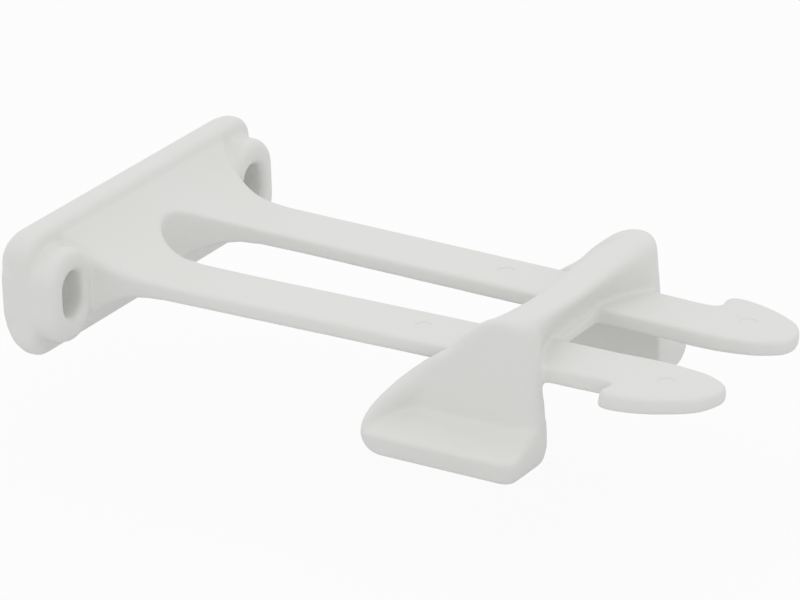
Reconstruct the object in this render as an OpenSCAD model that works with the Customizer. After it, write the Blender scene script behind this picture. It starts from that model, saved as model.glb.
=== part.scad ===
// Spring latch for a cupboard door: a mounting base, two thin spring arms, a thumb bridge with a finger scoop on
// each side, and two hooked prongs. Millimetres, +X from the door towards the prongs, +Z up. The origin is the
// centre of the base's back face, which lies against the door.

/* [Mounting plate] */
// Length of the plate, across the latch
plate_length = 53.8; // [48:0.2:60]
// Height of the plate
plate_height = 18.1; // [16:0.1:24]
// Thickness of the plate, from the door to its front face
plate_thickness = 5.8; // [4:0.2:8]
// Radius of the plate's four corners
plate_corner_r = 3.4; // [3:0.1:5]
// Softening of the edge round the plate's front face
plate_edge = 1.2; // [0.4:0.1:1.5]
// How much lower the back face is than the plate, above and below
back_taper = 2.2; // [0.5:0.1:2.8]
// How much shorter the back face is than the plate, at each end
back_end_taper = 1.4; // [0.2:0.1:1.5]
// Distance from the back face to where the plate has its full height
back_swell = 3.2; // [1:0.1:3.6]

/* [Screw bosses] */
// Distance between the two screw slots
slot_spacing = 43.7; // [42:0.1:50]
// Width of a screw slot
slot_width = 4.4; // [3.2:0.1:5]
// Height of a screw slot, end to end
slot_height = 6.6; // [5.2:0.1:7.4]
// Wall of a boss round its slot
boss_wall = 2.35; // [1.6:0.05:2.6]
// Extra height of a boss above and below its slot's wall
boss_ends = 1.1; // [0:0.1:1.2]
// How far a boss's middle lies outside its slot
boss_offset = 0.45; // [0:0.05:0.8]
// How far a boss stands out of the plate
boss_reach = 3.6; // [2:0.1:5]
// Bevel round a boss and round its slot
boss_bevel = 0.7; // [0.3:0.1:1]

/* [Flared root] */
// Length of the flared root, from the plate to the plain arms
root_length = 18.2; // [15:0.2:24]
// Width of the flared root at the plate
root_width = 40; // [36:0.2:42]
// Step from the plate's top edge down to the root's top
root_step = 1.45; // [0.6:0.05:2.4]
// Rounding of the root's long edges beside the plate
root_edge_r = 1.2; // [0.6:0.1:3]
// Distance from the plate to the round end of the window between the arms
window_setback = 3.8; // [2.4:0.1:6]
// Length of the window's round end
window_round = 10; // [7:0.5:11]

/* [Spring arms] */
// Free length of the plain arms, from the root to the scoops
arm_length = 30; // [20:0.5:45]
// Thickness of the arms
arm_thickness = 2.4; // [1.8:0.05:3]
// Width across both arms at the root
arms_width_root = 31.6; // [29:0.2:34]
// Width across both arms at the prongs
arms_width_front = 28.8; // [27:0.2:31]
// Width of the window between the arms at the root
window_width_root = 13.5; // [12:0.1:16]
// Width of the window between the arms at the prongs
window_width_front = 10.7; // [9:0.1:13]
// Rounding of the long edges
arm_edge_r = 0.6; // [0.3:0.05:0.85]

/* [Thumb bridge] */
// Length of the arms beside the scoops, behind the hump
neck_length = 12; // [8:0.5:16]
// Length of the hump along the arms
hump_length = 12; // [10:0.5:16]
// Height of the ridge above the arms, at the scoops
ridge_height = 7.6; // [5:0.05:9]
// How far the ridge dips at the middle
ridge_dip = 2.4; // [0.5:0.1:3]
// How far the hump's back foot draws in at the middle
back_waist = 2.6; // [1:0.1:3.4]
// How far the hump's front foot draws in at the middle
front_waist = 4.4; // [1:0.1:5]
// How far the hump's crest moves back at the middle
crest_shift = 1.8; // [0:0.1:2.4]
// How far the web's front edge lies behind the prongs
web_front = 3; // [1:0.1:4]
// Thickness of the web between the arms
web_thickness = 1.6; // [1:0.1:2]
// Step from the arms' undersides to the web, and from their outer sides to the hump's ends
web_setback = 0.2; // [0.1:0.05:0.4]

/* [Finger scoops] */
// Length of a scoop at its widest
scoop_length = 26.2; // [22:0.2:32]
// How far a scoop reaches in front of the bridge
scoop_front = 3.2; // [1.5:0.1:5]
// Depth of a scoop below the arms' top
scoop_depth = 14.4; // [12:0.05:20]
// Distance from an arm's side to the scoop's face
scoop_wall = 4.2; // [3:0.1:6]
// How far the lip stands out of the wall
lip_reach = 4.1; // [2.5:0.1:6]
// How far the lip's rim draws in at its foot
lip_lean = 0.9; // [0:0.1:1.5]
// Height of the lip's rim
lip_height = 3.8; // [2.4:0.1:5]
// Height of the slope from the lip's rim up to the wall
lip_slope = 2.4; // [1.6:0.1:3.5]
// Width of the rim along the scoop's back edge
back_rim = 5.5; // [3:0.1:7]
// Rounding of the wall's front corner, seen from above
wall_corner_r = 2.8; // [1.5:0.1:4]
// Rounding of the lip's front corner, seen from above
lip_corner_r = 1.4; // [0.6:0.1:2]
// How far behind the prongs the scoop's front face starts, beside the arm
front_tuck = 0.1; // [0:0.1:1]
// How far the scoop's back edge slants forward towards the arm
back_tuck = 2.6; // [0:0.1:3]
// Rounding of the scoop's back and bottom edges
scoop_edge_r = 1.1; // [0.5:0.1:1.6]
// Rounding of the scoop's edges beside the hump
hump_edge_r = 2.2; // [1:0.1:2.6]

/* [Prongs] */
// Length of a prong in front of the bridge
prong_length = 24.4; // [20:0.2:32]
// How far a barb stands out of the arm's side
barb_reach = 3.3; // [2:0.1:5]
// How much deeper the prong's belly is than the arm
belly_depth = 0.15; // [0:0.05:0.6]
// Rounding of the prong's edges
prong_edge_r = 0.6; // [0.3:0.05:0.85]
// Diameter of the round ejector marks
mark_d = 2.4; // [1.5:0.1:3.5]
// Depth of the round ejector marks
mark_depth = 0.12; // [0.05:0.01:0.3]

/* [Hidden] */
plastic = "#E9E8E6";
round_fn = 48;
hull_fn = 32;

// Where each member starts along the latch
arm_start = plate_thickness + root_length;
bridge_start = arm_start + arm_length;
hump_start = bridge_start + neck_length;
prong_start = hump_start + hump_length;
prong_end = prong_start + prong_length;

// Heights of the arms and the scoops
arm_top = arm_thickness / 2;
arm_bottom = -arm_thickness / 2;
ridge_top = arm_top + ridge_height;
scoop_bottom = arm_top - scoop_depth;
scoop_height = ridge_top - scoop_bottom;
scoop_end = prong_start + scoop_front;
scoop_start = scoop_end - scoop_length;

// Sizes of the bosses, from the slots that they hold
boss_width = slot_width + 2 * boss_wall;
boss_height = slot_height + 2 * (boss_wall + boss_ends);
boss_face = plate_thickness + boss_reach;

// Sides of the scoops
skirt_inner = arms_width_front / 2;
skirt_outer = skirt_inner + scoop_wall;

// Side view of a scoop: height share, back edge share and front edge share, from the bottom up
silhouette_shares = [
    [0, 0.1, 0.84],
    [0.014, 0.056, 0.868],
    [0.063, 0.014, 0.897],
    [0.145, 0, 0.917],
    [0.266, 0.018, 0.92],
    [0.362, 0.065, 0.91],
    [0.459, 0.135, 0.902],
    [0.536, 0.208, 0.893],
    [0.604, 0.28, 0.889],
    [0.7, 0.4, 0.886],
    [0.807, 0.503, 0.886],
    [0.889, 0.584, 0.884],
    [0.942, 0.642, 0.874],
    [0.981, 0.704, 0.856],
    [1, 0.758, 0.826]
];
// Columns across a scoop's face, close together at its edges
column_shares = [0, 0.02, 0.06, 0.12, 0.2, 0.3, 0.4, 0.5, 0.6, 0.7, 0.79, 0.87, 0.93, 0.975, 1];
// Height of the lip's edge along the scoop, as shares of the rim's height: level, with a rise at its front corner
lip_rise_shares = [1, 1, 1, 1, 1.03, 1.2];
// Power by which the hump draws in from its ends to its middle
waist_power = 2.6;
// Most that the scoop's back edge slants, as a share of the scoop's length at that height
tuck_share = 0.16;
// Height shares between which the back rim fades out, and between which the back edge softens towards the hump
rim_fade_shares = [0.16, 0.56];
edge_fade_shares = [0.35, 0.65];

// Plan of a prong's outer side: length share, then barb share measured from the arm's side
barb_shares = [
    [0.00, 0.00],
    [0.26, -0.12],
    [0.37, -0.14],
    [0.425, -0.04],
    [0.437, 0.16],
    [0.43, 0.4],
    [0.425, 0.62],
    [0.435, 0.83],
    [0.465, 0.97],
    [0.52, 1.00],
    [0.615, 0.88],
    [0.74, 0.58],
    [0.82, 0.3]
];
// Plan of a prong's tip: length share, then share of the arm's width measured from its inner side
tip_shares = [
    [0.902, 0.978],
    [0.957, 0.82],
    [0.99, 0.61],
    [1.00, 0.45],
    [0.985, 0.3],
    [0.947, 0.2],
    [0.885, 0.11],
    [0.82, 0.04],
    [0.705, -0.005],
    [0.59, -0.035],
    [0.49, -0.035],
    [0.25, -0.006],
    [0.00, 0.00]
];
// Belly of a prong: share of its depth at equal steps from the bridge to the tip
belly_shares = [0.0, 0.5, 0.95, 1.0, 0.9, 0.5, -0.1, -0.9];
// Share of the back face's taper that is left halfway to the plate's full height
swell_share = 0.3;
// Places of the ejector marks: one on the arm behind the hump, one on the prong
neck_mark_share = 0.16;
prong_mark_share = 0.69;
prong_mark_offset_share = 0.6;

curve_steps = 3;
edge_steps = 4;
hump_sections = 12;
row_steps = 3;
floor_steps = 5;
flare_steps = 16;
flare_power = 3.6;
side_power = 3.2;
overrun = 1;

// Value between two others
function between(a, b, t) = a + (b - a) * t;

// Share of a smooth step, from 0 at or below 0 to 1 at or above 1
function smooth_share(t) = let (s = min(1, max(0, t))) s * s * (3 - 2 * s);

// Point on a smooth curve through b and c
function curve_point(a, b, c, d, t) =
    b + 0.5 * t * ((c - a) + t * ((2 * a - 5 * b + 4 * c - d) + t * (3 * b - a - 3 * c + d)));

// Points along a smooth open curve through the given ones
function smooth_path(p, steps) = [
    for (i = [0:len(p) - 2], k = [0:steps - 1])
        curve_point(p[max(0, i - 1)], p[i], p[i + 1], p[min(len(p) - 1, i + 2)], k / steps),
    p[len(p) - 1]
];

// Value at a share of the way along an evenly spaced list
function along(list, t) =
    let (s = min(1, max(0, t)) * (len(list) - 1), i = min(len(list) - 2, floor(s)))
    between(list[i], list[i + 1], s - i);

// Loss of width near a rounded edge, at a distance d inside it
function edge_loss(r, d) = d >= r ? 0 : r - sqrt(max(0, r * r - (r - d) * (r - d)));

// Outer and inner side of the arms at a place along the latch
function arm_share(x) = (x - arm_start) / (prong_start - arm_start);
function arm_outer(x) = between(arms_width_root, arms_width_front, arm_share(x)) / 2;
function arm_inner(x) = between(window_width_root, window_width_front, arm_share(x)) / 2;

// An open plan outline moved inwards by d, with its two ends kept on their own cross line
function inset(p, d) = [
    for (i = [0:len(p) - 1])
        let (
            last = len(p) - 1,
            step = p[min(last, i + 1)] - p[max(0, i - 1)],
            moved = p[i] + d / norm(step) * [-step.y, step.x]
        )
        (i == 0 || i == last) ? [p[i].x, moved.y] : moved
];

// Solid through a stack of rings; from outside, the first ring runs clockwise
module ring_stack(rings) {
    count = len(rings[0]);
    last = len(rings) - 1;
    polyhedron(
        [for (ring = rings, p = ring) p],
        concat(
            [[for (i = [0:count - 1]) i]],
            [
                for (k = [0:last - 1], i = [0:count - 1])
                    let (a = k * count + i, b = k * count + (i + 1) % count, c = b + count, d = a + count)
                    each [[a, c, b], [a, d, c]]
            ],
            [[for (i = [0:count - 1]) last * count + count - 1 - i]]
        )
    );
}

// Plate with a rounded edge along an open plan outline, closed by a flat end, and a belly that follows its length
module soft_plate(outline, edge_r, belly, belly_span) {
    low = [for (p = outline) arm_bottom - along(belly, (p.x - belly_span[0]) / (belly_span[1] - belly_span[0]))];
    ring_stack([
        for (k = [0:2 * edge_steps + 1])
            let (
                above = k > edge_steps,
                a = 90 * (above ? 2 * edge_steps + 1 - k : k) / edge_steps,
                ring = inset(outline, edge_r * (1 - sin(a))),
                rise = edge_r * (1 - cos(a))
            )
            [for (i = [0:len(ring) - 1]) [ring[i].x, ring[i].y, above ? arm_top - rise : low[i] + rise]]
    ]);
}

// Cross section of the arm on +Y at a place along the latch, with rounded corners
function arm_section(x) =
    let (
        mid_y = (arm_inner(x) + arm_outer(x)) / 2,
        half_y = (arm_outer(x) - arm_inner(x)) / 2 - arm_edge_r,
        half_z = arm_thickness / 2 - arm_edge_r
    )
    [
        for (corner = [[1, -1, 270], [1, 1, 0], [-1, 1, 90], [-1, -1, 180]], k = [0:edge_steps])
            let (a = corner[2] + 90 * k / edge_steps)
            [x, mid_y + corner[0] * half_y + arm_edge_r * cos(a), corner[1] * half_z + arm_edge_r * sin(a)]
    ];

// Length of the arm on +Y between two places along the latch
module arm_bar(start, end) {
    ring_stack([for (x = [start, end]) arm_section(x)]);
}

// One side of the latch as drawn on +Y, moved to the near side
module on_near_side() {
    mirror([0, 1, 0]) children();
}

// Oblong bar along X with a height end to end
module oblong(width, height, start, end) {
    lift = (height - width) / 2;
    translate([start, 0, 0])
        rotate([90, 0, 90])
            linear_extrude(end - start)
                union() {
                    for (z = [-lift, lift]) {
                        translate([0, z]) circle(d = width, $fn = round_fn);
                    }
                    square([width, 2 * lift], center = true);
                }
}

// Cone-ended post of the boss hull at one height
module boss_post(z) {
    translate([0, 0, z])
        rotate([0, 90, 0]) {
            cylinder(d = boss_width, h = boss_face - boss_bevel, $fn = hull_fn);
            cylinder(d = boss_width - 2 * boss_bevel, h = boss_face, $fn = hull_fn);
        }
}

// Boss without its slot
module boss() {
    lift = (boss_height - boss_width) / 2;
    hull() {
        boss_post(-lift);
        boss_post(lift);
    }
}

// Slot through a boss and the plate, with a bevelled mouth
module boss_slot() {
    lift = (slot_height - slot_width) / 2;
    oblong(slot_width, slot_height, -overrun, boss_face + overrun);
    for (z = [-lift, lift]) {
        translate([boss_face - boss_bevel, 0, z])
            rotate([0, 90, 0])
                cylinder(d1 = slot_width, d2 = slot_width + 2 * (boss_bevel + overrun), h = boss_bevel + overrun,
                         $fn = round_fn);
    }
}

// Four corner posts of the plate's hull, drawn in at the ends by end_taper and above and below by taper
module corner_posts(start, end, end_taper, taper) {
    r = plate_corner_r - taper;
    for (y = [-1, 1], z = [-1, 1]) {
        translate([start, y * (plate_length / 2 - end_taper - r), z * (plate_height / 2 - plate_corner_r)])
            rotate([0, 90, 0])
                cylinder(r = r, h = end - start, $fn = hull_fn);
    }
}

// Plate with round corners, a softened front edge and a lower back face
module plate() {
    hull() {
        corner_posts(0, back_swell / 2, back_end_taper, back_taper);
        corner_posts(back_swell / 2, back_swell, back_end_taper * swell_share, back_taper * swell_share);
        corner_posts(back_swell, plate_thickness - plate_edge, 0, 0);
        corner_posts(back_swell, plate_thickness, plate_edge, plate_edge);
    }
}

// Plan of the window between the arms, with the round end that starts it
module window_plan() {
    window_half = arm_inner(arm_start);
    window_x = plate_thickness + window_setback + window_round;
    polygon([
        [arm_start + overrun, window_half],
        for (k = [0:2 * flare_steps])
            let (a = 90 - 90 * k / flare_steps)
            [window_x - window_round * cos(a), window_half * sin(a)],
        [arm_start + overrun, -window_half]
    ]);
}

// Cross section of the flared root at a share of its length, with rounded corners
function root_section(share) =
    let (
        t = max(0, share),
        half_y = between(arm_outer(arm_start), root_width / 2, pow(1 - t, side_power)),
        half_z = between(arm_top, plate_height / 2 - root_step, pow(1 - t, flare_power)),
        r = min(root_edge_r, half_z - arm_top + arm_edge_r)
    )
    [
        for (corner = [[1, -1, 270], [1, 1, 0], [-1, 1, 90], [-1, -1, 180]], k = [0:edge_steps])
            let (a = corner[2] + 90 * k / edge_steps)
            [
                plate_thickness + root_length * share,
                corner[0] * (half_y - r) + r * cos(a),
                corner[1] * (half_z - r) + r * sin(a)
            ]
    ];

// Root of both arms: it sweeps from the plate down and in to the arms, and its long edges sharpen on the way
module flared_root() {
    difference() {
        ring_stack([
            root_section(-overrun / root_length),
            for (k = [0:flare_steps]) root_section(k / flare_steps)
        ]);
        translate([0, 0, -plate_height / 2]) linear_extrude(plate_height) window_plan();
    }
}

module mounting_base() {
    color(plastic)
        difference() {
            union() {
                plate();
                flared_root();
                for (side = [-1, 1]) translate([0, side * (slot_spacing / 2 + boss_offset), 0]) boss();
            }
            for (side = [-1, 1]) translate([0, side * slot_spacing / 2, 0]) boss_slot();
        }
}

// Round ejector mark, sunk in the top of an arm
module ejector_mark(x, y) {
    translate([x, y, arm_top - mark_depth]) cylinder(d = mark_d, h = mark_depth + overrun, $fn = round_fn);
}

module near_spring_arm() {
    color(plastic) on_near_side() arm_bar(arm_start, bridge_start);
}

module far_spring_arm() {
    color(plastic) arm_bar(arm_start, bridge_start);
}

// Side view rows of a scoop, smoothed: x of the back edge, x of the front edge, height
function silhouette_rows() = [
    for (s = smooth_path(silhouette_shares, row_steps))
        [scoop_start + scoop_length * s[1], scoop_start + scoop_length * s[2], scoop_bottom + scoop_height * s[0]]
];

// Share of the way from one height share to another, smoothed
function fade(height_share, shares) = smooth_share((height_share - shares[0]) / (shares[1] - shares[0]));

// Side of the scoop's face at a point of the side view: the wall, the lip below it and the rim behind it
function scoop_face(x, z, back, front) =
    let (
        lip_z = scoop_bottom + lip_height * along(lip_rise_shares, (x - scoop_start) / scoop_length),
        lip = smooth_share((lip_z - z) / lip_slope + 1),
        height_share = (z - scoop_bottom) / scoop_height,
        rim = (1 - fade(height_share, rim_fade_shares)) * (1 - smooth_share((x - back) / back_rim)),
        lean = lip_lean * max(0, 1 - (z - scoop_bottom) / lip_height),
        face = skirt_outer + lip_reach * max(lip, rim) - lean,
        corner_r = between(wall_corner_r, lip_corner_r, lip),
        back_r = between(scoop_edge_r, hump_edge_r, fade(height_share, edge_fade_shares))
    )
    face
        - edge_loss(corner_r, front - x)
        - edge_loss(back_r, x - back)
        - edge_loss(scoop_edge_r, z - scoop_bottom)
        - edge_loss(hump_edge_r, ridge_top - z);

// Height to which a place above the arms sinks at a distance from the latch's middle plane
function dip(z, y) =
    z <= arm_top
        ? z
        : arm_top + (z - arm_top) * (1 - ridge_dip / ridge_height * max(0, 1 - pow(y / skirt_outer, 2)));

// Finger scoop on +Y: a wall against the arm's side with a hollowed outer face and a lip
module finger_scoop() {
    rows = silhouette_rows();
    columns = len(column_shares);
    count = len(rows) * columns;
    points = [
        for (row = rows, u = column_shares)
            let (
                back = row[0] + min(back_tuck, tuck_share * (row[1] - row[0])),
                x = between(back, min(prong_start - front_tuck, row[1]), u),
                y = arm_outer(x)
            )
            [x, y, dip(row[2], y)],
        for (row = rows, u = column_shares)
            let (
                x = between(row[0], row[1], u),
                y = scoop_face(x, row[2], row[0], row[1])
            )
            [x, y, dip(row[2], y)]
    ];
    last = len(rows) - 1;
    faces = [
        for (k = [0:last - 1], i = [0:columns - 2])
            let (a = k * columns + i, b = a + 1, c = b + columns, d = a + columns)
            each [[a, c, b], [a, d, c], [count + a, count + b, count + c], [count + a, count + c, count + d]],
        for (k = [0:last - 1])
            let (a = k * columns, b = a + columns, c = a + columns - 1, d = c + columns)
            each [[a, count + b, b], [a, count + a, count + b], [c, d, count + d], [c, count + d, count + c]],
        for (i = [0:columns - 2])
            let (a = i, b = i + 1, c = last * columns + i, d = c + 1)
            each [[a, b, count + b], [a, count + b, count + a], [c, count + d, d], [c, count + c, count + d]]
    ];
    polyhedron(points, faces);
}

// Cross section of the hump at a share of its half width: the scoops' side view, drawn in and sunk at the middle
function hump_section(side) =
    let (
        middle = 1 - pow(abs(side), waist_power),
        rows = [for (row = silhouette_rows()) if (row[2] > arm_top) row],
        last = len(rows) - 1,
        foot = arm_bottom + arm_edge_r,
        y = side * (skirt_inner - web_setback),
        front_limit = prong_start - web_setback,
        draw = function (z, waist) middle * between(-crest_shift, waist, min(1, (ridge_top - z) / ridge_height)),
        outline = concat(
            [[rows[0][0] + draw(arm_top, back_waist), foot]],
            [for (row = rows) [row[0] + draw(row[2], back_waist), dip(row[2], y)]],
            [
                for (k = [0:last])
                    let (row = rows[last - k])
                    [min(row[1], front_limit) + draw(row[2], -front_waist), dip(row[2], y)]
            ],
            [[min(rows[0][1], front_limit) + draw(arm_top, -front_waist), foot]]
        )
    )
    [for (p = outline) [p.x, side * (arm_outer(p.x) - web_setback), p.y]];

// Hump over both arms, from scoop to scoop
module hump() {
    ring_stack([for (k = [0:hump_sections]) hump_section(between(-1, 1, k / hump_sections))]);
}

// Arm on +Y where it runs past the scoop and through the hump, in short hulls, with its half of the web
module bridge_floor() {
    mark_x = between(bridge_start, prong_start, neck_mark_share);
    web_half = arm_inner(prong_start) + arm_edge_r;
    step = (prong_start - bridge_start) / floor_steps;
    difference() {
        for (k = [0:floor_steps - 1]) {
            hull() arm_bar(bridge_start + k * step, bridge_start + (k + 1) * step);
        }
        ejector_mark(mark_x, (arm_inner(mark_x) + arm_outer(mark_x)) / 2);
    }
    translate([hump_start + web_setback, -arm_edge_r, arm_bottom + web_setback])
        cube([hump_length - web_setback - web_front, web_half + arm_edge_r, web_thickness]);
}

module thumb_bridge() {
    color(plastic)
        union() {
            hump();
            for (side = [0, 1]) {
                mirror([0, side, 0]) bridge_floor();
            }
        }
}

module near_finger_scoop() {
    color(plastic) on_near_side() finger_scoop();
}

module far_finger_scoop() {
    color(plastic) finger_scoop();
}

// Plan of a prong on +Y, anticlockwise
function prong_plan() =
    let (
        side = arm_outer(prong_start),
        inner = arm_inner(prong_start),
        outer_points = [for (s = barb_shares) [prong_start + prong_length * s[0], side + barb_reach * s[1]]],
        tip_points = [for (s = tip_shares) [prong_start + prong_length * s[0], inner + (side - inner) * s[1]]],
        path = smooth_path(concat(outer_points, tip_points), curve_steps)
    )
    [for (k = [0:len(path) - 1]) path[len(path) - 1 - k]];

// Hooked prong on +Y, cut square where it leaves the bridge
module prong() {
    mark_x = between(prong_start, prong_end, prong_mark_share);
    mark_y = between(arm_inner(prong_start), arm_outer(prong_start), prong_mark_offset_share);
    difference() {
        soft_plate(
            prong_plan(),
            prong_edge_r,
            [for (s = belly_shares) belly_depth * s],
            [prong_start, prong_end]
        );
        ejector_mark(mark_x, mark_y);
    }
}

module near_prong() {
    color(plastic) on_near_side() prong();
}

module far_prong() {
    color(plastic) prong();
}

mounting_base();
near_spring_arm();
far_spring_arm();
thumb_bridge();
near_finger_scoop();
far_finger_scoop();
near_prong();
far_prong();
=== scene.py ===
"""Spring latch for a cupboard door, one soft-edged moulding of near-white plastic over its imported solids.

Sizes are in millimetres until a finished mesh is scaled to the frame's metres. +X runs from the door to the
prongs, +Z is up, and a shape that has a twin is drawn on the +Y side and mirrored.
"""

import logging
import math
from dataclasses import dataclass, field
from enum import Enum

import bmesh
import bpy
from mathutils import Matrix, Vector

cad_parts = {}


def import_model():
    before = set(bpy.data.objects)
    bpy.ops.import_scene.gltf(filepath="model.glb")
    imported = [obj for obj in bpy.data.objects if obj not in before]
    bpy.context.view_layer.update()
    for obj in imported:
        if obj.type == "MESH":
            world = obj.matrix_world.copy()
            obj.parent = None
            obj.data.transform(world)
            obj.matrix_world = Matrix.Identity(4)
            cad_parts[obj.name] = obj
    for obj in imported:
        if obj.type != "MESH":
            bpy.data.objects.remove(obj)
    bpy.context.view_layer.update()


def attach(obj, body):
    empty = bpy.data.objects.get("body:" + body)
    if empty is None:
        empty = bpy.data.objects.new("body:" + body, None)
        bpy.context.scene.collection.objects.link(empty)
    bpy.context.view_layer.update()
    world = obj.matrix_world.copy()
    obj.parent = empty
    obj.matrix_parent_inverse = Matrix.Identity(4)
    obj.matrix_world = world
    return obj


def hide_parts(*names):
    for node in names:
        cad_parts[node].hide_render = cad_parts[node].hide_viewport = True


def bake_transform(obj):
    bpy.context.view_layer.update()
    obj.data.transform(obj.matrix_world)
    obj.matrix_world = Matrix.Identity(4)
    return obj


LOG = logging.getLogger("latch")
MM = 0.001
WHITE = "#FFFFFF"

# Cutters and overlapping forms run this far past what they meet.
OVERRUN = 1.0
# Places closer than this count as one, and points this close to a cutting plane lie on it.
TOUCH = 1e-4
PLANE_TOUCH = 1e-5
# Directions whose cosine is over this count as parallel.
PARALLEL = 0.9
# A bevel of this share of half a width rounds an end without its two sides meeting.
FULL_ROUND = 0.998
# Input numbers of a colour Mix node's two colours, and the number of its colour output.
MIX_FIRST, MIX_SECOND, MIX_RESULT = 6, 7, 2

Point = tuple[float, float]
Place = tuple[float, float, float]


class Side(Enum):
    """Which side of the latch's middle plane a member keeps, as the sign of Y."""

    NEAR = -1.0
    FAR = 1.0
    BOTH = 0.0


def between(a: float, b: float, t: float) -> float:
    """Return the value a share t of the way from a to b."""
    return a + (b - a) * t


def smooth_share(t: float) -> float:
    """Return a smooth step of t, from 0 at or below 0 to 1 at or above 1."""
    s = min(1.0, max(0.0, t))
    return s * s * (3.0 - 2.0 * s)


def fade(value: float, start: float, end: float) -> float:
    """Return how far value has come from start to end, smoothed."""
    return smooth_share((value - start) / (end - start))


def along(values: tuple[float, ...], t: float) -> float:
    """Read an evenly spaced list at a share of its length.

    Args:
        values: Values of the list.
        t: Share of the way from the first value to the last.

    Returns:
        The value there.
    """
    s = min(1.0, max(0.0, t)) * (len(values) - 1)
    i = min(len(values) - 2, int(s))
    return between(values[i], values[i + 1], s - i)


def edge_loss(radius: float, distance: float) -> float:
    """Work out what a rounded edge takes off a face.

    Args:
        radius: Radius of the edge.
        distance: Distance from the edge, along the face.

    Returns:
        How far the face draws back there.
    """
    if distance >= radius:
        return 0.0
    return radius - math.sqrt(max(0.0, radius**2 - (radius - distance) ** 2))


def smooth_path(points: list[tuple[float, ...]], steps: int) -> list[tuple[float, ...]]:
    """Run a smooth open curve through points.

    Args:
        points: Points that the curve passes, all with the same number of coordinates.
        steps: Steps from each point to the next.

    Returns:
        Points along the curve, the given ones among them.
    """
    last = len(points) - 1
    path = []
    for i in range(last):
        a, b, c, d = points[max(0, i - 1)], points[i], points[i + 1], points[min(last, i + 2)]
        for k in range(steps):
            t = k / steps
            path.append(
                tuple(
                    q + 0.5 * t * ((r - p) + t * ((2 * p - 5 * q + 4 * r - s) + t * (3 * q - p - 3 * r + s)))
                    for p, q, r, s in zip(a, b, c, d)
                )
            )
    path.append(points[last])
    return path


def srgb(code: str) -> tuple[float, float, float, float]:
    """Turn an sRGB hex colour into a linear one.

    Args:
        code: Colour as six hex digits after a hash.

    Returns:
        Red, green, blue and alpha, linear.
    """
    parts = [int(code[i : i + 2], 16) / 255 for i in (1, 3, 5)]
    linear = [c / 12.92 if c <= 0.04045 else ((c + 0.055) / 1.055) ** 2.4 for c in parts]
    return (*linear, 1.0)


def noise_scale(size: float) -> float:
    """Return the scale at which a pattern on Object coordinates repeats about once in a size."""
    return 1.0 / (size * MM)


def box(bm: bmesh.types.BMesh, low: Place, high: Place) -> list[bmesh.types.BMVert]:
    """Add a box between two corners.

    Args:
        bm: Mesh that takes the box.
        low: Lowest corner.
        high: Highest corner.

    Returns:
        The box's eight corners.
    """
    verts = bmesh.ops.create_cube(bm, size=1.0)["verts"]
    bmesh.ops.scale(bm, vec=[h - l for l, h in zip(low, high)], verts=verts)
    bmesh.ops.translate(bm, vec=[(l + h) / 2 for l, h in zip(low, high)], verts=verts)
    return verts


def long_edges(bm: bmesh.types.BMesh) -> list[bmesh.types.BMEdge]:
    """Return the edges of a mesh that run along the latch."""
    return [e for e in bm.edges if abs((e.verts[1].co - e.verts[0].co).normalized().x) > PARALLEL]


def rim_at(bm: bmesh.types.BMesh, x: float) -> list[bmesh.types.BMEdge]:
    """Find the edges that bound a form's flat end.

    Args:
        bm: Mesh of the form.
        x: Place of the end along the latch.

    Returns:
        The edges round the end.
    """
    level = [e for e in bm.edges if all(abs(v.co.x - x) < TOUCH for v in e.verts)]
    return [e for e in level if any(abs(f.normal.x) < PARALLEL for f in e.link_faces)]


def round_edges(
    bm: bmesh.types.BMesh, edges: list[bmesh.types.BMEdge], radius: float, segments: int
) -> None:
    """Round edges with a bevel.

    Args:
        bm: Mesh that holds the edges.
        edges: Edges that are rounded.
        radius: Width of the bevel.
        segments: Faces across the bevel.
    """
    bmesh.ops.bevel(
        bm,
        geom=edges,
        offset=radius,
        offset_type="OFFSET",
        affect="EDGES",
        segments=segments,
        profile=0.5,
        material=-1,
        clamp_overlap=False,
    )


def slice_mesh(bm: bmesh.types.BMesh, place: Vector, way: Vector, clear: bool = False) -> None:
    """Cut a mesh with a plane.

    Args:
        bm: Mesh that is cut.
        place: A point of the plane.
        way: The plane's normal.
        clear: Whether what lies beyond the plane goes.
    """
    geom = [*bm.verts, *bm.edges, *bm.faces]
    bmesh.ops.bisect_plane(bm, geom=geom, dist=PLANE_TOUCH, plane_co=place, plane_no=way, clear_outer=clear)


def cut_loops(bm: bmesh.types.BMesh, places: list[float]) -> None:
    """Add a loop of edges across a form at each of some places along the latch."""
    for x in places:
        slice_mesh(bm, Vector((x, 0.0, 0.0)), Vector((1.0, 0.0, 0.0)))


def add_twin(bm: bmesh.types.BMesh) -> None:
    """Add the mirror image of everything in a mesh on the other side of the latch.

    Args:
        bm: Mesh with the +Y forms.
    """
    geom = [*bm.verts, *bm.edges, *bm.faces]
    copy = bmesh.ops.duplicate(bm, geom=geom)["geom"]
    verts = [g for g in copy if isinstance(g, bmesh.types.BMVert)]
    faces = [g for g in copy if isinstance(g, bmesh.types.BMFace)]
    bmesh.ops.scale(bm, vec=(1.0, -1.0, 1.0), verts=verts)
    bmesh.ops.reverse_faces(bm, faces=faces)


def new_object(bm: bmesh.types.BMesh, name: str) -> bpy.types.Object:
    """Turn a mesh into an object of its own, faces outward.

    Args:
        bm: Finished mesh, which is freed.
        name: Name of the object.

    Returns:
        The new object, linked to the scene.
    """
    bmesh.ops.recalc_face_normals(bm, faces=bm.faces)
    mesh = bpy.data.meshes.new(name)
    bm.to_mesh(mesh)
    bm.free()
    made = bpy.data.objects.new(name, mesh)
    bpy.context.scene.collection.objects.link(made)
    return made


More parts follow.
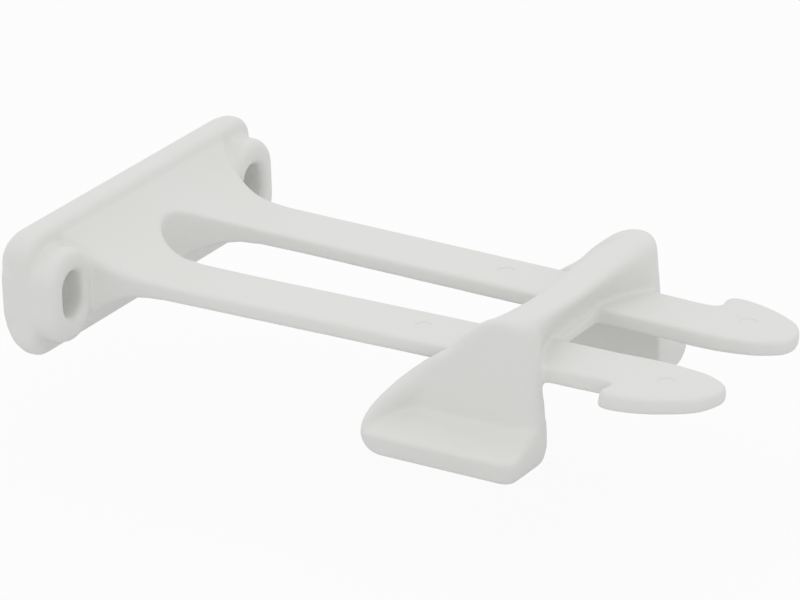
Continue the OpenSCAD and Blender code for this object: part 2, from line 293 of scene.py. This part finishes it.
def settle(obj: bpy.types.Object) -> None:
    """Turn an object's modifiers into its mesh and drop them.

    Args:
        obj: Object with modifiers.
    """
    bpy.context.view_layer.update()
    graph = bpy.context.evaluated_depsgraph_get()
    mesh = bpy.data.meshes.new_from_object(obj.evaluated_get(graph), depsgraph=graph)
    obj.modifiers.clear()
    old = obj.data
    obj.data = mesh
    bpy.data.meshes.remove(old)


def cut_away(obj: bpy.types.Object, cutter: bpy.types.Object) -> bpy.types.Object:
    """Cut one solid out of another.

    Args:
        obj: Solid that changes.
        cutter: Solid that is taken out of it and used up.

    Returns:
        The changed solid.
    """
    modifier = obj.modifiers.new("cut", "BOOLEAN")
    modifier.operation = "DIFFERENCE"
    modifier.solver = "MANIFOLD"
    modifier.object = cutter
    settle(obj)
    bpy.data.objects.remove(cutter)
    return obj


@dataclass
class Layout:
    """Places and widths that the members share."""

    root_face: float = 5.8
    arm_start: float = 24.0
    neck_start: float = 54.0
    hump_start: float = 66.0
    prong_start: float = 78.0
    prong_split: float = 83.0
    tip: float = 102.4
    half_thickness: float = 1.2
    outer_root: float = 15.8
    outer_front: float = 14.4
    inner_root: float = 6.75
    inner_front: float = 5.35

    def share(self, x: float) -> float:
        """Return how far along the arms' taper a place lies."""
        return (x - self.arm_start) / (self.prong_start - self.arm_start)

    def outer(self, x: float) -> float:
        """Return the arm's outer side at a place along the latch."""
        return between(self.outer_root, self.outer_front, self.share(x))

    def inner(self, x: float) -> float:
        """Return the arm's inner side at a place along the latch."""
        return between(self.inner_root, self.inner_front, self.share(x))


@dataclass
class MountingBase:
    """Plate against the door, its two screw bosses and the flared root of the arms."""

    layout: Layout
    half_length: float = 26.9
    half_height: float = 9.05
    corner: float = 3.4
    corner_segments: int = 6
    front_edge: float = 1.3
    front_segments: int = 3
    back_taper: float = 2.2
    back_end_taper: float = 1.4
    back_swell: float = 3.2
    swell_share: float = 0.3
    slot_spacing: float = 43.7
    slot_half_width: float = 2.2
    slot_half_height: float = 3.3
    mouth: float = 0.7
    oblong_segments: int = 10
    boss_half_width: float = 4.55
    boss_half_height: float = 6.75
    boss_offset: float = 0.45
    boss_start: float = 0.6
    boss_face: float = 9.4
    boss_edge: float = 1.3
    boss_segments: int = 4
    root_half_height: float = 7.6
    root_half_side: float = 20.0
    root_edge: float = 1.2
    root_segments: int = 6
    root_steps: int = 44
    root_overlap: float = 1.5
    arm_overlap: float = 2.0
    arm_edge: float = 0.45
    flare_power: float = 3.6
    side_power: float = 3.2
    window_end: float = 9.6
    window_round: float = 10.0
    window_segments: int = 96

    def plate(self) -> bpy.types.Object:
        """Build the plate with round corners, a soft front edge and a smaller back face.

        Returns:
            The plate, without its slots.
        """
        bm = bmesh.new()
        front = self.layout.root_face
        box(bm, (0.0, -self.half_length, -self.half_height), (front, self.half_length, self.half_height))
        round_edges(bm, long_edges(bm), self.corner, self.corner_segments)
        round_edges(bm, rim_at(bm, front), self.front_edge, self.front_segments)
        cut_loops(bm, [self.back_swell / 2, self.back_swell])
        for vert in bm.verts:
            left = self.swell_share if vert.co.x < self.back_swell - TOUCH else 0.0
            if vert.co.x < TOUCH:
                left = 1.0
            vert.co.z *= 1.0 - left * self.back_taper / self.half_height
            vert.co.y *= 1.0 - left * self.back_end_taper / self.half_length
        return new_object(bm, "plate")

    def oblong(self, half_width: float, half_height: float, start: float, end: float) -> bmesh.types.BMesh:
        """Start a mesh with an oblong bar along the latch, round above and below.

        Args:
            half_width: Half the bar's width.
            half_height: Half its height, end to end.
            start: Place of its back end.
            end: Place of its front end.

        Returns:
            The mesh.
        """
        bm = bmesh.new()
        box(bm, (start, -half_width, -half_height), (end, half_width, half_height))
        round_edges(bm, long_edges(bm), half_width * FULL_ROUND, self.oblong_segments)
        bm.normal_update()
        return bm

    def bosses(self) -> bpy.types.Object:
        """Build both oblong bosses.

        Returns:
            The bosses, without their slots.
        """
        bm = self.oblong(self.boss_half_width, self.boss_half_height, self.boss_start, self.boss_face)
        round_edges(bm, rim_at(bm, self.boss_face), self.boss_edge, self.boss_segments)
        bmesh.ops.translate(bm, vec=(0.0, self.slot_spacing / 2 + self.boss_offset, 0.0), verts=bm.verts)
        add_twin(bm)
        return new_object(bm, "bosses")

    def slots(self) -> bpy.types.Object:
        """Build the cutter of both screw slots, with their bevelled mouths.

        Returns:
            The cutter.
        """
        lip, end = self.boss_face - self.mouth, self.boss_face + OVERRUN
        bm = self.oblong(self.slot_half_width, self.slot_half_height, -OVERRUN, end)
        cut_loops(bm, [lip])
        grow = end - lip
        for vert in bm.verts:
            if vert.co.x > lip + TOUCH:
                vert.co.y *= 1.0 + grow / self.slot_half_width
                vert.co.z *= 1.0 + grow / self.slot_half_height
        bmesh.ops.translate(bm, vec=(0.0, self.slot_spacing / 2, 0.0), verts=bm.verts)
        add_twin(bm)
        return new_object(bm, "slots")

    def root(self) -> bpy.types.Object:
        """Build the flared root, whose long edges sharpen on its sweep to the arms.

        Returns:
            The root, with the window's round end cut out.
        """
        bm = bmesh.new()
        plan = self.layout
        start, end = plan.root_face - self.root_overlap, plan.arm_start + self.arm_overlap
        unit_edge = 0.5
        box(bm, (start, -1.0, -1.0), (end, 1.0, 1.0))
        round_edges(bm, long_edges(bm), unit_edge, self.root_segments)
        cut_loops(bm, [between(start, end, k / self.root_steps) for k in range(1, self.root_steps)])
        for vert in bm.verts:
            come = (vert.co.x - plan.root_face) / (plan.arm_start - plan.root_face)
            left = 1.0 - min(1.0, max(0.0, come))
            side = plan.outer(max(vert.co.x, plan.arm_start))
            side += (self.root_half_side - plan.outer_root) * left**self.side_power
            rise = (self.root_half_height - plan.half_thickness) * left**self.flare_power
            scale = min(self.root_edge, rise + self.arm_edge) / unit_edge
            height = plan.half_thickness + rise
            vert.co.y = math.copysign(side + scale * (abs(vert.co.y) - 1.0), vert.co.y)
            vert.co.z = math.copysign(height + scale * (abs(vert.co.z) - 1.0), vert.co.z)
        return cut_away(new_object(bm, "root"), self.window(end + OVERRUN))

    def window(self, end: float) -> bpy.types.Object:
        """Build the cutter of the window's round end.

        Args:
            end: Place where the cutter stops.

        Returns:
            The cutter.
        """
        bm = bmesh.new()
        half = self.layout.inner_root
        middle = self.window_end + self.window_round
        bmesh.ops.create_cone(
            bm,
            cap_ends=True,
            cap_tris=False,
            segments=self.window_segments,
            radius1=1.0,
            radius2=1.0,
            depth=2.0 * (self.half_height + OVERRUN),
        )
        for vert in bm.verts:
            straight = vert.co.x > TOUCH
            vert.co.x = end - middle if straight else vert.co.x * self.window_round
            vert.co.y = math.copysign(half, vert.co.y) if straight else vert.co.y * half
        bmesh.ops.translate(bm, vec=(middle, 0.0, 0.0), verts=bm.verts)
        bmesh.ops.remove_doubles(bm, verts=bm.verts, dist=TOUCH)
        return new_object(bm, "window")

    def forms(self) -> list[bpy.types.Object]:
        """Return the base's raw solids, slots cut."""
        return [cut_away(self.plate(), self.slots()), cut_away(self.bosses(), self.slots()), self.root()]


@dataclass
class SpringArms:
    """The two plain arms, which run from the root through the bridge to the prongs."""

    layout: Layout
    edge: float = 0.45
    edge_segments: int = 3
    root_overlap: float = 4.0
    prong_overlap: float = 1.0

    def forms(self) -> list[bpy.types.Object]:
        """Build the arms' raw solids.

        Returns:
            Both arms, in one object.
        """
        bm = bmesh.new()
        plan = self.layout
        start, end = plan.arm_start - self.root_overlap, plan.prong_start + self.prong_overlap
        for vert in box(bm, (start, -1.0, -plan.half_thickness), (end, 1.0, plan.half_thickness)):
            vert.co.y = plan.outer(vert.co.x) if vert.co.y > 0 else plan.inner(vert.co.x)
        round_edges(bm, long_edges(bm), self.edge, self.edge_segments)
        add_twin(bm)
        return [new_object(bm, "arms")]


@dataclass
class ThumbBridge:
    """Hump across both arms, the web under it and a finger scoop on each side."""

    layout: Layout
    ridge: float = 8.8
    ridge_dip: float = 3.3
    back_waist: float = 2.6
    front_waist: float = 4.4
    crest_shift: float = 1.8
    waist_power: float = 2.6
    hump_sink: float = 0.6
    hump_overlap: float = 0.1
    hump_edge: float = 1.8
    hump_steps: int = 2
    sections: int = 16
    web_thickness: float = 1.6
    web_setback: float = 0.2
    web_front: float = 3.0
    bottom: float = -13.2
    scoop_start: float = 55.0
    scoop_end: float = 81.2
    scoop_steps: int = 8
    scoop_columns: int = 40
    inner: float = 14.5
    front_inner: float = 79.6
    wall: float = 17.9
    wall_corner: float = 2.4
    lip: float = 5.2
    lip_lean: float = 0.9
    lip_height: float = 3.3
    lip_slope: float = 3.2
    lip_corner: float = 1.4
    back_rim: float = 5.5
    back_tuck: float = 2.6
    tuck_share: float = 0.16
    edge: float = 0.8
    # Shares of the height between which the rim on the scoop's back dies out and its back edge softens.
    rim_shares: Point = (0.16, 0.56)
    soft_edge_shares: Point = (0.35, 0.65)
    # The lip's height along the scoop, as shares of lip_height.
    lip_rise_shares: tuple[float, ...] = (1.0, 1.0, 1.0, 1.0, 1.03, 1.2)
    # Side view of the scoop from the bottom up: height, back edge and front edge, as shares of its box.
    silhouette_shares: list[Place] = field(
        default_factory=lambda: [
            (0.000, 0.100, 0.840),
            (0.014, 0.056, 0.868),
            (0.063, 0.014, 0.897),
            (0.145, 0.000, 0.917),
            (0.266, 0.018, 0.920),
            (0.362, 0.066, 0.912),
            (0.459, 0.138, 0.906),
            (0.536, 0.212, 0.899),
            (0.604, 0.286, 0.895),
            (0.700, 0.400, 0.890),
            (0.807, 0.485, 0.884),
            (0.889, 0.562, 0.880),
            (0.942, 0.622, 0.870),
            (0.981, 0.690, 0.850),
            (1.000, 0.746, 0.820),
        ]
    )

    def rows(self, steps: int) -> list[Place]:
        """Work out the side view's rows from the bottom up.

        Args:
            steps: Rows from each point of the silhouette to the next.

        Returns:
            Back edge, front edge and height of each row.
        """
        start, length = self.scoop_start, self.scoop_end - self.scoop_start
        height = self.ridge - self.bottom
        return [
            (start + length * back, start + length * front, self.bottom + height * share)
            for share, back, front in smooth_path(self.silhouette_shares, steps)
        ]

    def face(self, x: float, z: float, back: float, front: float) -> float:
        """Work out how far out a scoop's face lies at a point of the side view.

        Args:
            x: Place along the latch.
            z: Height.
            back: Back edge of the scoop at that height.
            front: Front edge of the scoop at that height.

        Returns:
            Distance from the latch's middle plane.
        """
        rise = along(self.lip_rise_shares, (x - self.scoop_start) / (self.scoop_end - self.scoop_start))
        lip_top = self.bottom + self.lip_height * rise
        lip = smooth_share((lip_top - z) / self.lip_slope + 1.0)
        share = (z - self.bottom) / (self.ridge - self.bottom)
        rim = (1.0 - fade(share, *self.rim_shares)) * (1.0 - smooth_share((x - back) / self.back_rim))
        lean = self.lip_lean * max(0.0, 1.0 - (z - self.bottom) / self.lip_height)
        side = self.wall + self.lip * max(lip, rim) - lean
        corner = between(self.wall_corner, self.lip_corner, lip)
        back_edge = between(self.edge, self.hump_edge, fade(share, *self.soft_edge_shares))
        return (
            side
            - edge_loss(corner, front - x)
            - edge_loss(back_edge, x - back)
            - edge_loss(self.edge, z - self.bottom)
            - edge_loss(self.hump_edge, self.ridge - z)
        )

    def dip(self, z: float, y: float) -> float:
        """Sink a point of the hump towards the middle of the latch.

        Args:
            z: Height that the point has at the scoop.
            y: Distance from the latch's middle plane.

        Returns:
            The height that it has there.
        """
        top = self.layout.half_thickness
        middle = max(0.0, 1.0 - (y / self.wall) ** 2)
        return z if z <= top else top + (z - top) * (1.0 - self.ridge_dip / (self.ridge - top) * middle)

    def scoops(self) -> bpy.types.Object:
        """Build both finger scoops: a wall beside each arm with a hollowed face and a lip.

        Returns:
            Both scoops, in one object.
        """
        bm = bmesh.new()
        rows = self.rows(self.scoop_steps)
        last = len(rows) - 1
        bmesh.ops.create_grid(bm, x_segments=self.scoop_columns, y_segments=last, size=0.5)
        faces = list(bm.faces)
        extruded = bmesh.ops.extrude_face_region(bm, geom=faces, use_keep_orig=True)["geom"]
        inside = {v for v in extruded if isinstance(v, bmesh.types.BMVert)}
        for vert in bm.verts:
            back, front, z = rows[round((vert.co.y + 0.5) * last)]
            share = 0.5 - 0.5 * math.cos(math.pi * (vert.co.x + 0.5))
            if vert in inside:
                tuck = min(self.back_tuck, self.tuck_share * (front - back))
                x = between(back + tuck, min(self.front_inner, front), share)
                y = self.inner
            else:
                x = between(back, front, share)
                y = self.face(x, z, back, front)
            vert.co = (x, y, self.dip(z, y))
        add_twin(bm)
        return new_object(bm, "scoops")

    def hump(self) -> bpy.types.Object:
        """Build the hump, which dips and draws in towards the middle of the latch.

        Returns:
            The hump.
        """
        bm = bmesh.new()
        plan = self.layout
        top = plan.half_thickness
        rows = [row for row in self.rows(self.hump_steps) if row[2] > top]
        low = -plan.half_thickness + self.hump_sink
        profile = [(rows[0][0], low), *[(back, z) for back, _, z in rows]]
        profile += [*[(front, z) for _, front, z in reversed(rows)], (rows[0][1], low)]
        back_points = len(rows) + 1
        reach = plan.outer_front + self.hump_overlap
        face = bm.faces.new([bm.verts.new((x, -reach, z)) for x, z in profile])
        for k in range(self.sections):
            geom = bmesh.ops.extrude_face_region(bm, geom=[face], use_keep_orig=k == 0)["geom"]
            if k > 0 and face.is_valid:
                bmesh.ops.delete(bm, geom=[face], context="FACES_ONLY")
            face = next(g for g in geom if isinstance(g, bmesh.types.BMFace))
            bmesh.ops.translate(bm, vec=(0.0, 2 * reach / self.sections, 0.0), verts=face.verts)
        for vert in bm.verts:
            x, y, z = vert.co
            index = min(range(len(profile)), key=lambda i: math.dist(profile[i], (x, z)))
            depth = min(1.0, (self.ridge - profile[index][1]) / (self.ridge - top))
            waist = self.back_waist if index < back_points else -self.front_waist
            middle = 1.0 - abs(y / reach) ** self.waist_power
            vert.co.x += middle * between(-self.crest_shift, waist, depth)
            vert.co.z = self.dip(z, y)
        return new_object(bm, "hump")

    def web(self) -> bpy.types.Object:
        """Build the web between the arms.

        Returns:
            The web.
        """
        bm = bmesh.new()
        plan = self.layout
        half = plan.inner(plan.prong_start) + OVERRUN
        low = -plan.half_thickness + self.web_setback
        start, end = plan.hump_start + self.web_setback, plan.prong_start - self.web_front
        box(bm, (start, -half, low), (end, half, low + self.web_thickness))
        return new_object(bm, "web")

    def forms(self) -> list[bpy.types.Object]:
        """Return the bridge's raw solids."""
        return [self.scoops(), self.hump(), self.web()]


@dataclass
class Prongs:
    """Stiff front ends of the arms, each with a hooked barb on its outer side."""

    layout: Layout
    barb: float = 3.3
    belly: float = 0.15
    edge: float = 0.45
    edge_segments: int = 3
    outline_steps: int = 3
    # The underside of the hook sweeps back by this much, between these distances out and along the latch.
    sweep: float = 0.6
    sweep_side: Point = (14.2, 16.0)
    sweep_start: Point = (86.0, 88.5)
    sweep_end: Point = (89.0, 93.0)
    # Outer side with its barb, as shares of the prong's length and of the barb's reach.
    side_shares: list[Point] = field(
        default_factory=lambda: [
            (0.00, 0.00),
            (0.26, -0.12),
            (0.37, -0.14),
            (0.425, -0.04),
            (0.437, 0.16),
            (0.43, 0.40),
            (0.425, 0.62),
            (0.435, 0.83),
            (0.465, 0.97),
            (0.52, 1.00),
            (0.615, 0.88),
            (0.74, 0.58),
            (0.82, 0.30),
        ]
    )
    # Tip and inner side, as shares of the prong's length and of its width from the inner side.
    tip_shares: list[Point] = field(
        default_factory=lambda: [
            (0.902, 0.978),
            (0.957, 0.82),
            (0.99, 0.61),
            (1.00, 0.45),
            (0.985, 0.30),
            (0.947, 0.20),
            (0.885, 0.11),
            (0.82, 0.04),
            (0.705, -0.005),
            (0.59, -0.035),
            (0.49, -0.035),
            (0.25, -0.006),
            (0.00, 0.00),
        ]
    )
    # Depth of the underside along the prong, as shares of the belly.
    belly_shares: tuple[float, ...] = (0.0, 0.5, 0.95, 1.0, 0.9, 0.5, -0.1, -0.9)

    def outline(self) -> list[Point]:
        """Work out the plan of the +Y prong.

        Returns:
            Points from the bridge round the tip and back.
        """
        plan = self.layout
        side, inner = plan.outer(plan.prong_start), plan.inner(plan.prong_start)
        length = plan.tip - plan.prong_start
        points = [(plan.prong_start + length * a, side + self.barb * b) for a, b in self.side_shares]
        points += [(plan.prong_start + length * a, between(inner, side, b)) for a, b in self.tip_shares]
        return smooth_path(points, self.outline_steps)

    def forms(self) -> list[bpy.types.Object]:
        """Build the prongs' raw solids.

        Returns:
            Both prongs, in one object.
        """
        bm = bmesh.new()
        plan = self.layout
        top = plan.half_thickness
        face = bm.faces.new([bm.verts.new((x, y, top)) for x, y in self.outline()])
        geom = bmesh.ops.extrude_face_region(bm, geom=[face], use_keep_orig=True)["geom"]
        lower = [g for g in geom if isinstance(g, bmesh.types.BMVert)]
        bmesh.ops.translate(bm, vec=(0.0, 0.0, -2 * top), verts=lower)
        for vert in lower:
            x, y, _ = vert.co
            share = (x - plan.prong_start) / (plan.tip - plan.prong_start)
            hook = fade(y, *self.sweep_side) * fade(x, *self.sweep_start) * (1.0 - fade(x, *self.sweep_end))
            vert.co.z -= self.belly * along(self.belly_shares, share)
            vert.co.x -= self.sweep * hook
        bmesh.ops.recalc_face_normals(bm, faces=bm.faces)
        ends = [f for f in bm.faces if len(f.verts) > 4]
        rims = [e for e in bm.edges if any(f in ends for f in e.link_faces)]
        round_edges(bm, rims, self.edge, self.edge_segments)
        add_twin(bm)
        return [new_object(bm, "prongs")]


@dataclass
class EjectorMarks:
    """Shallow round marks that the mould's ejector pins leave on the tops of the arms and the prongs."""

    layout: Layout
    radius: float = 1.2
    depth: float = 0.05
    segments: int = 48
    places: tuple[Point, ...] = ((57.8, 10.45), (94.8, 10.8))

    def press(self, skin: bpy.types.Object) -> bpy.types.Object:
        """Press the marks into the fused skin.

        Args:
            skin: The fused skin, which changes.

        Returns:
            The marked skin.
        """
        bm = bmesh.new()
        middle = self.layout.half_thickness - self.depth + OVERRUN
        for x, y in self.places:
            pin = bmesh.ops.create_cone(
                bm,
                cap_ends=True,
                segments=self.segments,
                radius1=self.radius,
                radius2=self.radius,
                depth=2.0 * OVERRUN,
            )["verts"]
            bmesh.ops.translate(bm, vec=(x, y, middle), verts=pin)
        add_twin(bm)
        return cut_away(skin, new_object(bm, "marks"))


@dataclass
class Moulding:
    """The fused moulding: raw solids melted into one skin, softened, then parted into its members."""

    layout: Layout
    grain: float = 0.25
    soft_passes: int = 10
    soft_factor: float = 0.5
    sharp_angle: float = 60.0

    def fuse(self, forms: list[bpy.types.Object]) -> bpy.types.Object:
        """Melt raw solids into one closed skin and soften it.

        Args:
            forms: Raw solids, which are used up.

        Returns:
            The fused skin.
        """
        bm = bmesh.new()
        for form in forms:
            bm.from_mesh(form.data)
            bpy.data.objects.remove(form)
        bmesh.ops.triangulate(bm, faces=bm.faces)
        skin = new_object(bm, "skin")
        remesh = skin.modifiers.new("melt", "REMESH")
        remesh.mode = "VOXEL"
        remesh.voxel_size = self.grain
        settle(skin)
        bm = bmesh.new()
        bm.from_mesh(skin.data)
        for _ in range(self.soft_passes):
            bmesh.ops.smooth_vert(
                bm,
                verts=bm.verts,
                factor=self.soft_factor,
                use_axis_x=True,
                use_axis_y=True,
                use_axis_z=True,
            )
        bm.to_mesh(skin.data)
        bm.free()
        return skin

    def member(
        self,
        skin: bpy.types.Object,
        name: str,
        start: float | None,
        end: float | None,
        side: Side = Side.BOTH,
    ) -> bpy.types.Object:
        """Take one member out of the fused skin, its cut ends closed.

        Args:
            skin: The fused skin, which is kept.
            name: Name of the member.
            start: Place where the member starts, or None for the latch's back.
            end: Place where it ends, or None for the latch's tip.
            side: Side that the member lies on.

        Returns:
            The member, in metres.
        """
        bm = bmesh.new()
        bm.from_mesh(skin.data)
        cuts = []
        if start is not None:
            cuts.append((Vector((start, 0.0, 0.0)), Vector((-1.0, 0.0, 0.0))))
        if end is not None:
            cuts.append((Vector((end, 0.0, 0.0)), Vector((1.0, 0.0, 0.0))))
        if side is not Side.BOTH:
            cuts.append((Vector(), Vector((0.0, -side.value, 0.0))))
        for place, way in cuts:
            slice_mesh(bm, place, way, clear=True)
            bmesh.ops.holes_fill(bm, edges=[e for e in bm.edges if e.is_boundary], sides=0)
        for face in bm.faces:
            face.smooth = True
        bmesh.ops.scale(bm, vec=(MM, MM, MM), verts=bm.verts)
        mesh = bpy.data.meshes.new(name)
        bm.to_mesh(mesh)
        bm.free()
        mesh.set_sharp_from_angle(angle=math.radians(self.sharp_angle))
        made = bpy.data.objects.new(name, mesh)
        bpy.context.scene.collection.objects.link(made)
        return made

    def members(self, skin: bpy.types.Object) -> dict[str, bpy.types.Object]:
        """Part the fused skin into its members, the bridge with both scoops.

        Args:
            skin: The fused skin, which is used up.

        Returns:
            Each member by the name of its node.
        """
        arm, neck, split = self.layout.arm_start, self.layout.neck_start, self.layout.prong_split
        made = {
            "mounting_base": self.member(skin, "base_skin", None, arm),
            "near_spring_arm": self.member(skin, "near_arm_skin", arm, neck, Side.NEAR),
            "far_spring_arm": self.member(skin, "far_arm_skin", arm, neck, Side.FAR),
            "thumb_bridge": self.member(skin, "bridge_skin", neck, split),
            "near_prong": self.member(skin, "near_prong_skin", split, None, Side.NEAR),
            "far_prong": self.member(skin, "far_prong_skin", split, None, Side.FAR),
        }
        bpy.data.objects.remove(skin)
        return made


def add_node(
    tree: bpy.types.NodeTree,
    kind: str,
    settings: dict[str | int, object],
    links: dict[str | int, bpy.types.NodeSocket],
) -> bpy.types.Node:
    """Add a shader node with its settings and links.

    Args:
        tree: Node tree that takes the node.
        kind: Type of the node.
        settings: Values by attribute name, or by input name or number.
        links: Output sockets by the input name or number that they feed.

    Returns:
        The new node.
    """
    node = tree.nodes.new(kind)
    for key, value in settings.items():
        if isinstance(key, str) and hasattr(node, key):
            setattr(node, key, value)
        else:
            node.inputs[key].default_value = value
    for key, socket in links.items():
        tree.links.new(socket, node.inputs[key])
    return node


@dataclass(frozen=True)
class SatinPolypropylene:
    """Near-white polypropylene from a mould with a fine satin finish.

    It gives the eye soft, wide highlights and an even colour, which drifts by a shade over some millimetres. The
    mould's grain is really a few hundredths of a millimetre wide, and is drawn as coarse as it needs to break
    the highlights.
    """

    name: str = "satin_polypropylene"
    colour: str = "#E2E2E0"
    drift: str = "#DEDEDB"
    roughness: float = 0.5
    ior: float = 1.49
    drift_size: float = 50 / 3
    drift_detail: float = 3.0
    grain_size: float = 2 / 3
    grain_detail: float = 2.0
    grain_strength: float = 0.06
    grain_height: float = 0.05

    def material(self) -> bpy.types.Material:
        """Build the material.

        Returns:
            The material.
        """
        made = bpy.data.materials.new(self.name)
        made.use_nodes = True
        tree = made.node_tree
        tree.nodes.clear()
        place = add_node(tree, "ShaderNodeTexCoord", {}, {}).outputs["Object"]
        cloud = add_node(
            tree,
            "ShaderNodeTexNoise",
            {"Scale": noise_scale(self.drift_size), "Detail": self.drift_detail},
            {"Vector": place},
        )
        tint = add_node(
            tree,
            "ShaderNodeMix",
            {"data_type": "RGBA", MIX_FIRST: srgb(self.colour), MIX_SECOND: srgb(self.drift)},
            {0: cloud.outputs["Fac"]},
        )
        grain = add_node(
            tree,
            "ShaderNodeTexNoise",
            {"Scale": noise_scale(self.grain_size), "Detail": self.grain_detail},
            {"Vector": place},
        )
        bump = add_node(
            tree,
            "ShaderNodeBump",
            {"Strength": self.grain_strength, "Distance": self.grain_height * MM},
            {"Height": grain.outputs["Fac"]},
        )
        shader = add_node(
            tree,
            "ShaderNodeBsdfPrincipled",
            {"Roughness": self.roughness, "IOR": self.ior},
            {"Base Color": tint.outputs[MIX_RESULT], "Normal": bump.outputs["Normal"]},
        )
        add_node(tree, "ShaderNodeOutputMaterial", {}, {"Surface": shader.outputs["BSDF"]})
        return made


@dataclass(frozen=True)
class MattTable:
    """Matt white table: the eye sees plain white on it, with a faint soft shadow under the latch."""

    name: str = "white_table"
    colour: str = "#E7E7E7"
    glow_share: float = 0.9

    def material(self) -> bpy.types.Material:
        """Build the material, which glows white towards the camera and takes light like matt paint.

        Returns:
            The material.
        """
        made = bpy.data.materials.new(self.name)
        made.use_nodes = True
        tree = made.node_tree
        tree.nodes.clear()
        matt = add_node(tree, "ShaderNodeBsdfDiffuse", {"Color": srgb(self.colour)}, {})
        glow = add_node(tree, "ShaderNodeEmission", {"Color": srgb(WHITE), "Strength": 1.0}, {})
        rays = add_node(tree, "ShaderNodeLightPath", {}, {})
        seen = add_node(
            tree,
            "ShaderNodeMath",
            {"operation": "MULTIPLY", 1: self.glow_share},
            {0: rays.outputs["Is Camera Ray"]},
        )
        mix = add_node(
            tree,
            "ShaderNodeMixShader",
            {},
            {0: seen.outputs[0], 1: matt.outputs[0], 2: glow.outputs[0]},
        )
        add_node(tree, "ShaderNodeOutputMaterial", {}, {"Surface": mix.outputs[0]})
        return made


@dataclass
class Studio:
    """White table, soft light from all round and the photograph's camera."""

    eye: Place = (409.27, -554.79, 284.02)
    right: Place = (0.8442, 0.5352, -0.0302)
    up: Place = (-0.1884, 0.3491, 0.918)
    back: Place = (0.5019, -0.7692, 0.3955)
    lens: float = 241.2
    sensor: float = 36.0
    nearest: float = 10.0
    farthest: float = 20000.0
    floor_half_size: float = 3000.0
    floor_x: float = 50.0
    floor_z: float = -26.0
    surround: float = 0.95
    lamp_size: float = 1200.0
    lamp_power: float = 0.25
    lamp_place: Place = (50.0, -100.0, 900.0)

    def camera(self) -> None:
        """Place the camera as in the photograph."""
        data = bpy.data.cameras.new("camera")
        data.lens, data.sensor_width = self.lens, self.sensor
        data.clip_start, data.clip_end = self.nearest * MM, self.farthest * MM
        made = bpy.data.objects.new("camera", data)
        bpy.context.scene.collection.objects.link(made)
        turn = Matrix((self.right, self.up, self.back)).transposed()
        made.matrix_world = Matrix.Translation(Vector(self.eye) * MM) @ turn.to_4x4()
        bpy.context.scene.camera = made

    def floor(self) -> None:
        """Lay the table."""
        bm = bmesh.new()
        bmesh.ops.create_grid(bm, x_segments=1, y_segments=1, size=self.floor_half_size * MM)
        bmesh.ops.translate(bm, vec=(self.floor_x * MM, 0.0, self.floor_z * MM), verts=bm.verts)
        made = new_object(bm, "floor")
        made.data.materials.append(MattTable().material())

    def light(self) -> None:
        """Light the scene from all round, a little more from above."""
        world = bpy.data.worlds.new("studio")
        bpy.context.scene.world = world
        world.use_nodes = True
        tree = world.node_tree
        tree.nodes.clear()
        sky = add_node(tree, "ShaderNodeBackground", {"Color": srgb(WHITE), "Strength": self.surround}, {})
        add_node(tree, "ShaderNodeOutputWorld", {}, {"Surface": sky.outputs[0]})
        data = bpy.data.lights.new("top_light", "AREA")
        data.size, data.energy = self.lamp_size * MM, self.lamp_power
        lamp = bpy.data.objects.new("top_light", data)
        lamp.location = Vector(self.lamp_place) * MM
        bpy.context.scene.collection.objects.link(lamp)

    def build(self) -> None:
        """Set up the whole studio."""
        self.camera()
        self.floor()
        self.light()
        bpy.context.scene.view_settings.view_transform = "Standard"


def main() -> None:
    """Build the latch, dress it and set up the studio."""
    logging.basicConfig(level=logging.INFO, format="%(message)s")
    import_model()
    layout = Layout()
    forms = []
    for part in (MountingBase(layout), SpringArms(layout), ThumbBridge(layout), Prongs(layout)):
        forms += part.forms()
        LOG.info("raw solids of %s", type(part).__name__)
    moulding = Moulding(layout)
    skin = EjectorMarks(layout).press(moulding.fuse(forms))
    LOG.info("fused skin: %d vertices", len(skin.data.vertices))
    plastic = SatinPolypropylene().material()
    scoops = ("near_finger_scoop", "far_finger_scoop")
    bodies = {
        "mounting_base": "root",
        "thumb_bridge": "latch_head",
        "near_prong": "latch_head",
        "far_prong": "latch_head",
    }
    for node, piece in moulding.members(skin).items():
        piece.data.materials.append(plastic)
        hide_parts(node, *(scoops if node == "thumb_bridge" else ()))
        if node in bodies:
            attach(piece, bodies[node])
        else:
            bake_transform(piece)
        LOG.info("%s: %d faces", piece.name, len(piece.data.polygons))
    Studio().build()


if __name__ == "__main__":
    main()
